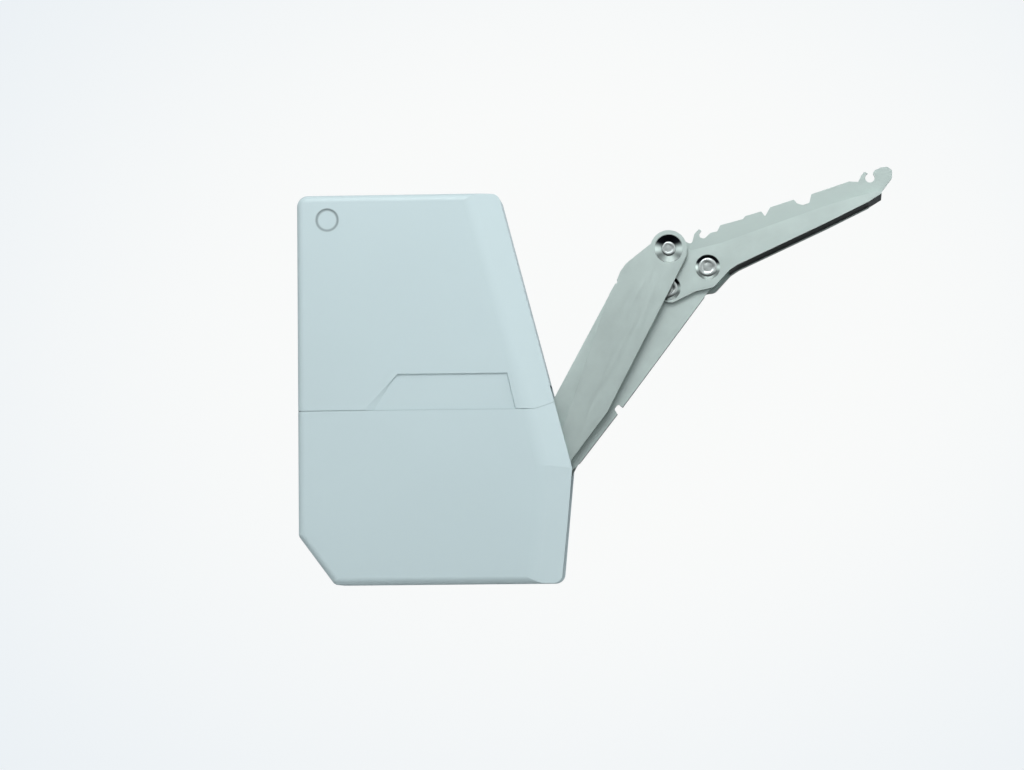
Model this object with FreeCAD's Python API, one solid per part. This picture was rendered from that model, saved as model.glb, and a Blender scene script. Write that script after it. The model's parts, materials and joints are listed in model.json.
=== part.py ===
import FreeCAD, Part
import math
import os
from FreeCAD import Vector as V

# Lift up flap stay in the open pose. Millimetres, +Z up, the cabinet side is the plane y = 0
# and the cover faces -Y. Points in the plane of the mechanism are written (x, z).
os.makedirs("parts", exist_ok=True)

# Sheet and plate thicknesses
WALL = 2.0
BASE_T = 2.0
LEVER_T = 2.5
ARM_T = 2.0
CAM_T = 3.7
CHEEK_T = 1.5
CONTROL_W = 8.0

# Gaps between the layers, from the mounting face forward
BASE_GAP = 3.0
PLATE_GAP = 0.5
CONTROL_GAP_BACK = 1.0
CONTROL_GAP_FRONT = 0.8
WASHER_T = 0.7
CHEEK_GAP = 1.8
COVER_ROOM = 4.0
FIT = 0.3
RUN = 0.05

# Cover form
BEVEL_DROP = 8.0
FRONT_EDGE_R = 4.0
BEVEL_ROUND = 16.0
SEAM = 0.4
RECESS_DEPTH = 1.0
DIMPLE_DEPTH = 0.5

# Pivots and lever lengths, taken from the open pose
LEVER_PIVOT = (59.3, -61.0)
CONTROL_PIVOT = (40.3, -61.1)
TOP_PIVOT = (135.0, 79.7)
LOW_PIVOT = (134.5, 57.1)
SPACER = (157.3, 68.9)

# Sunk seats pressed round the rivet heads, each (outer radius, floor radius, depth)
TOP_SEAT = (8.3, 5.4, 1.5)
ARM_SEAT = (7.3, 5.7, 1.0)
TOP_HEAD_R = 4.0
ARM_HEAD_R = ARM_SEAT[1] - 0.4
HEAD_BELOW = 0.2
SPACER_SHANK_R = 3.0
BACK_HEAD_H = 0.3


def next_layer(behind, gap, thickness):
    """Depths (front, back) of the plate that lies in front of another, a gap away."""
    back = behind[0] - gap
    return (back - thickness, back)


# Layers across the depth, each (front, back)
BASE = (-BASE_T, 0.0)
FAR_LEVER = next_layer(BASE, BASE_GAP, LEVER_T)
FAR_ARM = next_layer(FAR_LEVER, PLATE_GAP, ARM_T)
CONTROL = next_layer(FAR_ARM, CONTROL_GAP_BACK, CONTROL_W)
NEAR_ARM = next_layer(CONTROL, CONTROL_GAP_FRONT, ARM_T)
NEAR_LEVER = next_layer(NEAR_ARM, WASHER_T, LEVER_T)
CAM = next_layer(NEAR_LEVER, 0.0, CAM_T)
CHEEK = next_layer(CAM, CHEEK_GAP, CHEEK_T)
DEPTH = WALL + COVER_ROOM - CHEEK[0]
SHEET = 2.0

# Cam, spring pack and adjuster, all on one axis through the lever pivot
PACK_ANGLE = 130.0
ROLLER_R = 8.0
ROLLER_PIN_R = 2.5
FORK_R = 6.5
ROLLER_START = 22.0
CAM_RISE = 10.84
LEVER_TRAVEL = math.radians(132.15)
PACK_SIDE_GAP = 3.0
ROD_R = 4.0
ROD_ROOM = 2.9
SPRING_WIRE = 2.6
SPRING_TURNS = 8
SPRING_GAP = 3.0
SPRING_R = ROD_R + ROD_ROOM + SPRING_WIRE / 2
ROD_V = SPRING_R + SPRING_WIRE / 2 + SPRING_GAP / 2
PACK_HALF = ROD_V + SPRING_R + SPRING_WIRE / 2 + 0.5
PACK_Y = (CHEEK[1] - BASE_T) / 2
PACK_LAYER = (CHEEK[1] + PACK_SIDE_GAP, -BASE_T - PACK_SIDE_GAP)
CARRIAGE = (38.0, 46.0)
SEAT = (122.0, 128.0)
ANCHOR = (150.0, 160.0)

PIN_R = 5.0
RIVET_R = 3.5
STUD_R = 3.0
HUB_R = 10.8
FAR_HEAD_R = 9.8

COVER = [(-78.5, 112.0, 6.3), (37.4, 112.0, 4.5), (78.5, -46.3, 6.0), (72.2, -112.0, 5.7),
         (-57.8, -112.0, 4.0), (-78.5, -83.9, 4.0)]
BEVEL_LINE = [(22.6, 105.1), (62.5, -44.5), (55.7, -107.3)]
PARTING = [(-90.0, -12.3), (57.4, -12.3), (90.0, -0.5)]
SCREW_X = 32.0
SCREW_Z = 80.0
SCREW_R = 2.6
COVER_POSTS = [(-66.0, 12.0), (-62.0, 96.0), (18.0, 92.0), (-50.0, -98.0), (-66.0, -40.0)]
CHEEK_POSTS = [(20.0, -95.0), (51.0, 2.0), (0.0, -36.0)]


# Basic shapes
def point(p, y):
    return V(p[0], y, p[1])


def rounded_wire(corners, y):
    """Closed wire through (x, z, radius) corners, each rounded with its own radius."""
    edges = []
    ends = []
    count = len(corners)
    for i, corner in enumerate(corners):
        here = point(corner, y)
        before = (point(corners[i - 1], y) - here).normalize()
        after = (point(corners[(i + 1) % count], y) - here).normalize()
        if corner[2] == 0:
            ends.append((here, here))
            continue
        half = before.getAngle(after) / 2.0
        reach = corner[2] / math.tan(half)
        middle = (before + after).normalize()
        bulge = here + middle * (corner[2] / math.sin(half) - corner[2])
        start = here + before * reach
        stop = here + after * reach
        edges.append(Part.Arc(start, bulge, stop).toShape())
        ends.append((start, stop))
    for i in range(count):
        start = ends[i][1]
        stop = ends[(i + 1) % count][0]
        if start.distanceToPoint(stop) > 1e-6:
            edges.append(Part.makeLine(start, stop))
    return Part.Wire(Part.__sortEdges__(edges))


def plate(corners, layer):
    """Flat plate between the two depths of a layer."""
    face = Part.Face(rounded_wire(corners, layer[0]))
    return face.extrude(V(0, layer[1] - layer[0], 0))


def sharp(points, radius=0):
    return [(x, z, radius) for x, z in points]


def disc(centre, radius, layer):
    return Part.makeCylinder(radius, layer[1] - layer[0], point(centre, layer[0]), V(0, 1, 0))


def ring(centre, outer, inner, layer):
    return disc(centre, outer, layer).cut(disc(centre, inner, (layer[0] - 1, layer[1] + 1)))


def link(a, radius_a, b, radius_b, layer):
    """Bar with a round end at a and at b and straight tangent sides."""
    run = point(b, 0) - point(a, 0)
    length = run.Length
    along = V(run).normalize()
    lean = math.asin((radius_a - radius_b) / length)
    sides = []
    for side in (1, -1):
        across = V(-along.z, 0, along.x) * side
        normal = across * math.cos(lean) + along * math.sin(lean)
        sides.append((point(a, 0) + normal * radius_a, point(b, 0) + normal * radius_b))
    quad = [sides[0][0], sides[0][1], sides[1][1], sides[1][0]]
    bar = plate([(p.x, p.z, 0) for p in quad], layer)
    return bar.fuse([disc(a, radius_a, layer), disc(b, radius_b, layer)]).removeSplitter()


def on_pack(s, v, y=PACK_Y):
    """Point at distance s along the spring axis and v to its right."""
    angle = math.radians(PACK_ANGLE)
    x = LEVER_PIVOT[0] + s * math.cos(angle) + v * math.sin(angle)
    z = LEVER_PIVOT[1] + s * math.sin(angle) - v * math.cos(angle)
    return V(x, y, z)


def pack_dir():
    return (on_pack(1, 0) - on_pack(0, 0)).normalize()


def pack_block(s_span, half, layer, radius):
    ends = [on_pack(s, v) for s, v in ((s_span[0], -half), (s_span[0], half),
                                       (s_span[1], half), (s_span[1], -half))]
    return plate([(p.x, p.z, radius) for p in ends], layer)


def pack_rod(s_span, v, radius):
    return Part.makeCylinder(radius, s_span[1] - s_span[0], on_pack(s_span[0], v), pack_dir())


def seat(centre, front, size):
    """Cone to cut a sunk seat into the front of a plate."""
    return Part.makeCone(size[0], size[1], size[2], point(centre, front), V(0, 1, 0))


def rivet(centre, shank, layer, front_head, back_head):
    """Shank through a layer, swaged ring head in front, flat head behind; heads are
    (radius, height)."""
    radius, height = front_head
    ring_form = [(0, 0), (0, 0.6), (0.5, 0.6), (0.66, 1), (0.86, 1), (1, 0.6), (1, 0)]
    corners = [V(radius * r, -height * h, 0) for r, h in ring_form]
    half = Part.Face(Part.makePolygon(corners + corners[:1]))
    front = half.revolve(V(0, 0, 0), V(0, 1, 0), 360)
    front.translate(point(centre, layer[0]))
    back = disc(centre, back_head[0], (layer[1], layer[1] + back_head[1]))
    return disc(centre, shank, layer).fuse([front, back]).removeSplitter()


def edges_at(shape, test):
    return [e for e in shape.Edges if test(e.valueAt((e.FirstParameter + e.LastParameter) / 2))]


# Cover
def bevel_cutter(a, b, inset, round_r):
    """Everything in front of the bevel that starts at the line a to b."""
    origin = point(a, -DEPTH)
    along = (point(b, -DEPTH) - origin).normalize()
    out = V(-along.z, 0, along.x)
    slope = math.atan(BEVEL_DROP / (point(COVER[2], -DEPTH) - origin).dot(out))
    reach = round_r * math.tan(slope / 2)
    origin = origin - out * (inset * math.sin(slope)) + V(0, inset * math.cos(slope), 0)

    def at(o, f):
        return origin + out * o + V(0, f, 0) - along * 200

    start = at(-reach, 0)
    stop = at(reach * math.cos(slope), reach * math.sin(slope))
    far = at(80, 80 * math.tan(slope))
    top = at(80, -40)
    above = at(-reach, -40)
    edges = [Part.makeLine(stop, far), Part.makeLine(far, top), Part.makeLine(top, above)]
    if reach:
        bulge = at(-reach + round_r * math.sin(slope / 2), round_r - round_r * math.cos(slope / 2))
        edges = [Part.Arc(start, bulge, stop).toShape()] + edges
    edges.append(Part.makeLine(above, start))
    return Part.Face(Part.Wire(edges)).extrude(along * 500)


def cover_block(inset, edge_r, round_r):
    """Solid of the cover shape, moved inward by inset on every face but the back."""
    wire = rounded_wire(COVER, -DEPTH + inset)
    if inset:
        wire = wire.makeOffset2D(-inset)
    block = Part.Face(wire).extrude(V(0, DEPTH - inset, 0))
    if edge_r:
        front = -DEPTH + inset + 0.01
        block = block.makeFillet(edge_r, edges_at(block, lambda p: p.y < front))
    top, mid, low = BEVEL_LINE
    return block.cut([bevel_cutter(top, mid, inset, round_r), bevel_cutter(mid, low, inset, round_r)])


def cover_shell():
    outer = cover_block(0, FRONT_EDGE_R, BEVEL_ROUND)
    return outer.cut(cover_block(WALL, 0, 0))


def parting_region(side):
    """Everything above (side 1) or below (side -1) the seam, less half its width."""
    shift = side * SEAM / 2
    line = [(x, z + shift) for x, z in PARTING]
    far = [(90.0, side * 130.0), (-90.0, side * 130.0)]
    return plate(sharp(line + far), (-DEPTH - 5, 5))


def finger_recess():
    """Shallow field above the seam: steep top and right end, ramp at the left end."""
    front = [(-20.8, 8.5), (42.3, 8.5), (47.4, -14.0), (-41.8, -14.0)]
    floor = [(-21.6, 7.9), (41.9, 7.9), (46.8, -14.0), (-36.0, -14.0)]
    above = [(2 * a[0] - b[0], 2 * a[1] - b[1]) for a, b in zip(front, floor)]
    wires = []
    for points, y in ((above, -DEPTH - RECESS_DEPTH), (floor, -DEPTH + RECESS_DEPTH)):
        wires.append(Part.makePolygon([point(p, y) for p in points + points[:1]]))
    return Part.makeLoft(wires, True, True)


def lever_opening():
    """Right wall below the seam and the right part of the floor, open for the levers."""
    slot = (CAM[0] - 1.1, -BASE_T - 2.0)
    side = plate(sharp([(60.0, 2.0), (90.0, 2.0), (90.0, -120.0), (60.0, -120.0)]), slot)
    floor = plate(sharp([(33.0, -120.0), (90.0, -120.0), (90.0, -108.0), (33.0, -108.0)]),
                  slot)
    return side.fuse(floor)


def post_sockets(side):
    """Rings behind the front wall that take the cover posts."""
    rings = []
    for p in COVER_POSTS:
        if (p[1] - PARTING[0][1]) * side > 0:
            rings.append(ring(p, 6.0, 3.5 + FIT, (-DEPTH + WALL - 0.2, -DEPTH + WALL + 8.0)))
    return rings


def cover_part(shell, side):
    cover = shell.common(parting_region(side)).cut(lever_opening())
    return cover.fuse(post_sockets(side))


def upper_cover(shell):
    cover = cover_part(shell, 1)
    dimple = disc((-60.8, 97.6), 6.6, (-DEPTH - 1, -DEPTH + DIMPLE_DEPTH))
    return cover.cut(finger_recess()).cut(dimple)


def lower_cover(shell):
    return cover_part(shell, -1)


# Fixed parts of the housing
def base_plate():
    wire = rounded_wire(COVER, -BASE_T).makeOffset2D(-(WALL + FIT))
    base = Part.Face(wire).extrude(V(0, BASE_T, 0))
    for x in (-SCREW_X, SCREW_X):
        for z in (-SCREW_Z, SCREW_Z):
            base = base.cut(disc((x, z), SCREW_R, (-BASE_T - 1, 1)))
            base = base.cut(Part.makeCone(SCREW_R + 1.4, SCREW_R, 1.2, V(x, -BASE_T, z), V(0, 1, 0)))
    for hole, radius in [(LEVER_PIVOT, PIN_R), (CONTROL_PIVOT, STUD_R)]:
        base = base.cut(disc(hole, radius, (-BASE_T - 1, 1)))
    return base


def cheek_plate():
    corners = [(67.2, -67.0, 8.0), (67.2, -50.0, 8.0), (54.6, 8.5, 6.0), (45.0, 8.5, 6.0),
               (-7.5, -31.0, 7.0), (-4.0, -46.0, 7.0), (12.0, -101.0, 7.0), (28.0, -101.0, 7.0)]
    cheek = plate(corners, CHEEK)
    cheek = cheek.cut(disc(LEVER_PIVOT, PIN_R, CHEEK))
    window = plate([(34.0, -84.0, 4.0), (22.0, -62.0, 4.0), (10.0, -50.0, 4.0),
                    (18.0, -84.0, 4.0)], CHEEK)
    return cheek.cut(window)


def cheek_posts():
    posts = []
    for p in CHEEK_POSTS:
        post = disc(p, 4.0, (CHEEK[1], -BASE_T))
        posts.append(post.makeChamfer(0.6, edges_at(post, lambda q: q.y > -BASE_T - 0.01)))
    return Part.makeCompound(posts)


def cover_posts():
    posts = []
    for p in COVER_POSTS:
        foot = disc(p, 5.5, (-BASE_T - 4.0, -BASE_T))
        posts.append(disc(p, 3.5, (-DEPTH + WALL, -BASE_T)).fuse(foot).removeSplitter())
    return Part.makeCompound(posts)


def lever_pivot_front():
    """Stub pin riveted in the cheek plate; cam and near lever plate turn on it."""
    pin = disc(LEVER_PIVOT, PIN_R, (CHEEK[0], NEAR_LEVER[1] + 0.3))
    collar = disc(LEVER_PIVOT, 7.5, (CHEEK[1], CAM[0] - 0.3))
    keeper = disc(LEVER_PIVOT, 7.0, (NEAR_LEVER[1] + 0.3, NEAR_LEVER[1] + 1.6))
    return pin.fuse([collar, keeper]).removeSplitter()


def lever_pivot_rear():
    """Stub pin riveted in the base plate; the far lever plate turns on it."""
    pin = disc(LEVER_PIVOT, PIN_R, (FAR_LEVER[0] - 0.3, 0))
    collar = disc(LEVER_PIVOT, 8.0, (FAR_LEVER[1] + 0.3, -BASE_T))
    keeper = disc(LEVER_PIVOT, 7.0, (FAR_LEVER[0] - 1.6, FAR_LEVER[0] - 0.3))
    return pin.fuse([collar, keeper]).removeSplitter()


def control_stud():
    """Stud that stands in the slot of the control lever."""
    stud = disc(CONTROL_PIVOT, STUD_R, (CONTROL[0] - 1.6, 0))
    collar = disc(CONTROL_PIVOT, 5.5, (CONTROL[0] + SHEET + 0.3, -BASE_T))
    head = disc(CONTROL_PIVOT, 6.8, (CONTROL[0] - 1.6, CONTROL[0] - 0.3))
    return stud.fuse([collar, head]).removeSplitter()


def stop_buffer():
    """Rubber stop beside the far lever plate, which holds the open end of the travel."""
    along = V(TOP_PIVOT[0] - LEVER_PIVOT[0], 0, TOP_PIVOT[1] - LEVER_PIVOT[1]).normalize()
    side = V(-along.z, 0, along.x)
    centre = point(LEVER_PIVOT, 0) + along * 25 + side * (HUB_R + FIT + 4)
    buffer = disc((centre.x, centre.z), 4.0, (FAR_LEVER[0] - 0.5, -BASE_T))
    return buffer.makeFillet(0.8, edges_at(buffer, lambda p: p.y < FAR_LEVER[0]))


def anchor_block():
    block = pack_block(ANCHOR, PACK_HALF + 1, (PACK_LAYER[0], -BASE_T), 2.0)
    for v in (-ROD_V, ROD_V):
        block = block.cut(pack_rod((ANCHOR[0] - 1, ANCHOR[1] + 1), v, ROD_R))
    return block.cut(pack_rod((ANCHOR[0] - 1, ANCHOR[1] + 1), 0, ROD_R + RUN))


def guide_rods():
    rods = []
    for v in (-ROD_V, ROD_V):
        rod = pack_rod((CARRIAGE[0] + 3, ANCHOR[1]), v, ROD_R)
        low = on_pack(CARRIAGE[0] + 3, v)
        rods.append(rod.makeChamfer(0.8, edges_at(rod, lambda p: (p - low).Length < ROD_R + 0.1)))
    return Part.makeCompound(rods)


def springs():
    """Two compression springs between carriage and spring seat."""
    gap = SPRING_WIRE / 2 + 0.1
    length = SEAT[0] - CARRIAGE[1] - 2 * gap
    coils = []
    for v in (-ROD_V, ROD_V):
        helix = Part.makeHelix(length / SPRING_TURNS, length, SPRING_R)
        corners = [V(SPRING_R + SPRING_WIRE / 2 * math.cos(math.radians(a)), 0,
                     SPRING_WIRE / 2 * math.sin(math.radians(a))) for a in range(0, 361, 60)]
        section = Part.makePolygon(corners)
        coil = Part.Wire(helix.Edges).makePipeShell([section], True, True)
        turn = FreeCAD.Rotation(V(0, 0, 1), pack_dir())
        coil.Placement = FreeCAD.Placement(on_pack(CARRIAGE[1] + gap, v), turn)
        coils.append(coil)
    return Part.makeCompound(coils)


# Main lever
def near_plate():
    outline = [(73.4, -21.7, 6.0), (100.8, 54.2, 5.0), (104.5, 60.5, 0), (107.1, 66.8, 2.0),
               (110.5, 71.4, 2.0), (128.8, 85.7, 3.0), (145.0, 82.0, 5.0), (145.3, 75.4, 5.0),
               (131.0, 47.4, 20.0), (101.9, -8.0, 3.0), (99.1, -13.7, 3.0), (78.5, -40.5, 8.0),
               (69.0, -60.0, 2.0), (50.0, -60.0, 2.0)]
    near = plate(outline, NEAR_LEVER)
    near = near.fuse([disc(LEVER_PIVOT, 11.0, NEAR_LEVER), disc(TOP_PIVOT, 10.5, NEAR_LEVER)])
    near = near.removeSplitter()
    holes = [disc(LEVER_PIVOT, PIN_R + RUN, NEAR_LEVER), disc(TOP_PIVOT, RIVET_R, NEAR_LEVER)]
    nick = disc((104.0, 60.9), 1.2, NEAR_LEVER)
    sunk = seat(TOP_PIVOT, NEAR_LEVER[0], TOP_SEAT)
    return near.cut(holes + cam_rivet_discs(NEAR_LEVER) + [nick, sunk])


def far_plate():
    far = link(LEVER_PIVOT, HUB_R, TOP_PIVOT, FAR_HEAD_R, FAR_LEVER)
    return far.cut([disc(LEVER_PIVOT, PIN_R + RUN, FAR_LEVER), disc(TOP_PIVOT, RIVET_R, FAR_LEVER)])


def lever_bridge():
    """Web between the two lever plates, along the upper left edge of the head."""
    corners = [(107.8, 67.0, 0.8), (109.0, 65.8, 0.8), (119.6, 73.9, 0.8), (118.6, 75.6, 0.8)]
    bridge = plate(corners, (NEAR_LEVER[1], FAR_LEVER[0]))
    foot = plate([(107.8, 67.0, 0.8), (109.0, 65.8, 0.8), (126.0, 70.5, 1.5), (124.0, 79.5, 1.5)],
                 FAR_LEVER)
    return bridge.fuse(foot.cut(link(LEVER_PIVOT, HUB_R, TOP_PIVOT, FAR_HEAD_R, FAR_LEVER)))


def cam_profile():
    """Spiral whose roller path rises evenly with the turn of the lever."""
    points = []
    steps = 24
    for i in range(steps + 1):
        turn = LEVER_TRAVEL * i / steps
        reach = ROLLER_START + CAM_RISE * turn
        angle = math.radians(PACK_ANGLE) + turn
        path = V(reach * math.cos(angle), 0, reach * math.sin(angle))
        slope = V(CAM_RISE * math.cos(angle) - path.z, 0, CAM_RISE * math.sin(angle) + path.x)
        inward = V(-slope.z, 0, slope.x).normalize()
        centre = point(LEVER_PIVOT, CAM[0])
        points.append(centre + path + inward * (ROLLER_R + RUN))
    curve = Part.BSplineCurve()
    curve.interpolate(points)
    return curve, points


def cam_plate():
    curve, points = cam_profile()
    first, last = points[0], points[-1]
    nose = last + (last - points[-2]).normalize() * 4
    rim = [nose, point((66.0, -92.0), CAM[0]), point((72.0, -66.0), CAM[0]),
           point((71.0, -54.0), CAM[0]), point((61.0, -47.2), CAM[0]), first]
    edges = [curve.toShape(), Part.makeLine(last, nose)]
    edges += [Part.makeLine(a, b) for a, b in zip(rim, rim[1:])]
    cam = Part.Face(Part.Wire(edges)).extrude(V(0, CAM[1] - CAM[0], 0))
    holes = [disc(LEVER_PIVOT, PIN_R + RUN, CAM)] + cam_rivet_discs(CAM)
    return cam.cut(holes)


def cam_rivet_discs(layer, radius=1.5):
    discs = []
    for angle in (40, 160, 280):
        x = LEVER_PIVOT[0] + 8.6 * math.cos(math.radians(angle))
        z = LEVER_PIVOT[1] + 8.6 * math.sin(math.radians(angle))
        discs.append(disc((x, z), radius, layer))
    return discs


def cam_rivets():
    return Part.makeCompound(cam_rivet_discs((CAM[0], NEAR_LEVER[1])))


def top_rivet():
    """Rivet in the sunk seat of the near plate, through both lever plates and the arm."""
    floor = NEAR_LEVER[0] + TOP_SEAT[2]
    return rivet(TOP_PIVOT, RIVET_R, (floor, FAR_LEVER[1]), (TOP_HEAD_R, TOP_SEAT[2] - 0.5),
                 (7.0, 1.2))


def pivot_washers():
    front = ring(TOP_PIVOT, 8.0, RIVET_R, (NEAR_LEVER[1], NEAR_ARM[0] - RUN))
    back = ring(TOP_PIVOT, 8.0, RIVET_R, (FAR_ARM[1] + RUN, FAR_LEVER[0]))
    return Part.makeCompound([front, back])


# Front arm
ARM_LOW = [(160.6, 57.2), (169.6, 66.9), (174.4, 70.0), (224.9, 93.1), (249.9, 105.2),
           (257.6, 109.9)]
ARM_TOP = [(255.2, 111.6), (227.9, 104.1), (199.1, 94.4), (165.5, 82.8), (147.7, 78.6)]
WEB_DROP = 2.5


def near_arm():
    corners = [(126.5, 57.0, 0)] + [(132.2, 49.2, 3.0), (137.0, 48.6, 3.0), (149.9, 54.8, 5.0)]
    corners += sharp(ARM_LOW[:1], 3.0) + sharp(ARM_LOW[1:3], 5.0) + sharp(ARM_LOW[3:5], 8.0)
    corners += sharp(ARM_LOW[5:], 0.4) + sharp(ARM_TOP, 0.5) + [(137.0, 88.5, 3.0)]
    corners += [(126.5, 82.0, 3.0)]
    return plate(corners, NEAR_ARM)


def hook_plate():
    """Far side of the arm; its upper edge carries the hooks for the flap fitting."""
    low = [(x + 0.6, z - WEB_DROP, 5.0) for x, z in ARM_LOW[:5]]
    start = [(126.5, 57.0, 0), (132.2, 49.2, 3.0), (137.0, 48.6, 3.0), (149.9, 53.4, 5.0)]
    end = [(258.3, 112.4, 1.0), (264.0, 119.8, 2.5), (264.2, 124.4, 1.5), (261.6, 126.6, 1.0),
           (258.0, 126.3, 1.0), (254.4, 124.8, 0.8), (253.2, 123.4, 0.4), (250.0, 123.0, 0.4),
           (248.1, 123.9, 0.5), (246.1, 121.3, 0.8), (244.6, 118.0, 1.0), (239.4, 118.4, 0.8)]
    top = [(217.4, 111.3, 0.8), (216.3, 106.4, 0.8), (212.5, 105.1, 1.5), (209.0, 106.2, 0.6),
           (207.4, 108.4, 0.6), (193.6, 104.1, 0.8), (190.6, 98.8, 0.5), (188.5, 101.8, 0.5),
           (179.1, 99.2, 0.6), (177.8, 97.5, 0.4), (164.6, 94.1, 0.8), (163.0, 90.6, 0.8),
           (159.0, 89.8, 1.0), (155.3, 86.4, 1.4), (152.8, 87.2, 1.0), (152.4, 89.2, 0.8),
           (153.8, 91.1, 0.3), (152.3, 92.0, 0.5), (149.7, 89.4, 1.5), (148.0, 83.2, 1.5),
           (137.0, 88.5, 3.0), (126.5, 82.0, 3.0)]
    catch = disc((251.3, 120.3), 2.7, FAR_ARM)
    mouth = plate(sharp([(250.2, 121.0), (253.0, 121.0), (253.7, 126.0), (250.0, 126.0)]), FAR_ARM)
    return plate(start + low + end + top, FAR_ARM).cut([catch, mouth])


def arm_web():
    """Slanted strip that joins the lower edges of the two sides of the arm."""
    front, back = NEAR_ARM[0], FAR_ARM[1]
    sections = []
    for x, z in ARM_LOW[1:6]:
        points = [V(x, front, z), V(x, front, z + SHEET), V(x, back, z + SHEET - WEB_DROP),
                  V(x, back, z - WEB_DROP)]
        sections.append(Part.makePolygon(points + points[:1]))
    web = Part.makeLoft(sections[:-1], True, True)
    end = Part.makeLoft(sections[-2:], True, True)
    return web.fuse(end)


def front_arm():
    arm = near_arm().fuse([hook_plate(), arm_web()]).removeSplitter()
    span = (NEAR_ARM[0] - 1, FAR_ARM[1] + 1)
    holes = [disc(TOP_PIVOT, RIVET_R + RUN, span), disc(LOW_PIVOT, RIVET_R, span),
             disc(SPACER, SPACER_SHANK_R, span)]
    seats = [seat(p, NEAR_ARM[0], ARM_SEAT) for p in (LOW_PIVOT, SPACER)]
    return arm.cut(holes + seats)


def arm_rivet(centre, shank, back_radius):
    """Rivet through both sides of the arm, its head sunk in the near side."""
    layer = (NEAR_ARM[0] + ARM_SEAT[2], FAR_ARM[1])
    head = (ARM_HEAD_R, ARM_SEAT[2] - HEAD_BELOW)
    return rivet(centre, shank, layer, head, (back_radius, BACK_HEAD_H))


def spacer_rivet():
    """Rivet with a thick body that keeps the two sides of the arm apart."""
    body = disc(SPACER, 5.0, (NEAR_ARM[1], FAR_ARM[0]))
    return arm_rivet(SPACER, SPACER_SHANK_R, 5.0).fuse(body).removeSplitter()


def lower_rivet():
    return arm_rivet(LOW_PIVOT, RIVET_R, 6.5)


# Control lever
def control_lever():
    """Channel from the slot at its low end to the lower pivot of the front arm."""
    low = point(CONTROL_PIVOT, 0)
    up = point(LOW_PIVOT, 0)
    axis = (low - up).normalize()
    slot_near = up + axis * 151.1
    slot_far = up + axis * 161.6
    a, b = (slot_near.x, slot_near.z), (slot_far.x, slot_far.z)
    outline = [(68.2, -5.1, 20.0), (103.1, 58.8, 1.5), (112.0, 60.5, 4.0), (128.0, 66.0, 6.0),
               (143.0, 64.0, 6.0), (159.0, 57.1, 1.5), (105.9, -13.0, 2.0), (80.7, -45.1, 12.0),
               (49.0, -66.0, 3.0), (31.5, -56.5, 3.0)]
    tail = link(a, 8.8, b, 8.8, (CONTROL[0], CONTROL[0] + SHEET))
    face = plate(outline, (CONTROL[0], CONTROL[0] + SHEET)).fuse(tail).removeSplitter()
    solid = plate(outline, CONTROL)
    core = Part.Face(rounded_wire(outline, CONTROL[0] + SHEET).makeOffset2D(-SHEET))
    rim = solid.cut(core.extrude(V(0, CONTROL[1] - CONTROL[0], 0)))
    keep = plate(sharp([(66.0, -40.0), (58.0, -14.0), (96.0, 62.0), (110.0, 58.0), (128.0, 40.0),
                        (153.0, 53.0), (157.0, 51.0), (86.0, -44.0)]), CONTROL)
    lever = face.fuse(rim.common(keep)).removeSplitter()
    half = STUD_R + 1.5 + FIT
    lever = lever.cut(link(a, half, b, half, CONTROL))
    notch = plate([(102.6, -12.0, 1.0), (104.8, -9.4, 1.0), (110.0, -13.0, 0), (106.0, -18.0, 0)],
                  CONTROL)
    bush = ring(LOW_PIVOT, 6.5, RIVET_R + RUN, (CONTROL[0], CONTROL[1]))
    lever = lever.cut([disc(LOW_PIVOT, 6.0, CONTROL), notch])
    return lever.fuse(bush).removeSplitter()


# Spring pack
def spring_carriage():
    """Block that slides on the guide rods, with a fork that holds the roller."""
    fork_front = (CHEEK[1] + FIT, CAM[0] - 0.2)
    fork_back = (CAM[1] + 0.2, CAM[1] + 2.7)
    block = pack_block(CARRIAGE, PACK_HALF, (fork_front[0], PACK_LAYER[1]), 1.5)
    for v in (-ROD_V, ROD_V):
        block = block.cut(pack_rod((CARRIAGE[0] - 1, CARRIAGE[1] + 1), v, ROD_R + RUN))
    start = on_pack(ROLLER_START, 0)
    stop = on_pack(CARRIAGE[0] + 2, 0)
    ends = [(start.x, start.z), (stop.x, stop.z)]
    arms = [link(ends[0], FORK_R, ends[1], FORK_R, layer) for layer in (fork_front, fork_back)]
    fork = block.fuse(arms).removeSplitter()
    return fork.cut(disc(ends[0], ROLLER_PIN_R, (-DEPTH, 0)))


def roller_pin():
    start = on_pack(ROLLER_START, 0)
    return disc((start.x, start.z), ROLLER_PIN_R, (CHEEK[1] + FIT, CAM[1] + 2.7))


def cam_roller():
    start = on_pack(ROLLER_START, 0)
    layer = (CAM[0], CAM[1])
    return ring((start.x, start.z), ROLLER_R, ROLLER_PIN_R + RUN, layer)


def spring_seat():
    """Cross bar above the springs with a threaded boss for the adjuster."""
    seat = pack_block(SEAT, PACK_HALF, PACK_LAYER, 1.5)
    for v in (-ROD_V, ROD_V):
        seat = seat.cut(pack_rod((SEAT[0] - 1, SEAT[1] + 1), v, ROD_R + RUN))
    boss = pack_rod((SEAT[1] - 1, ANCHOR[0] - 3), 0, 6.5)
    bore = pack_rod((SEAT[1] + 1, ANCHOR[0]), 0, ROD_R + RUN)
    return seat.fuse(boss).removeSplitter().cut(bore)


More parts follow.
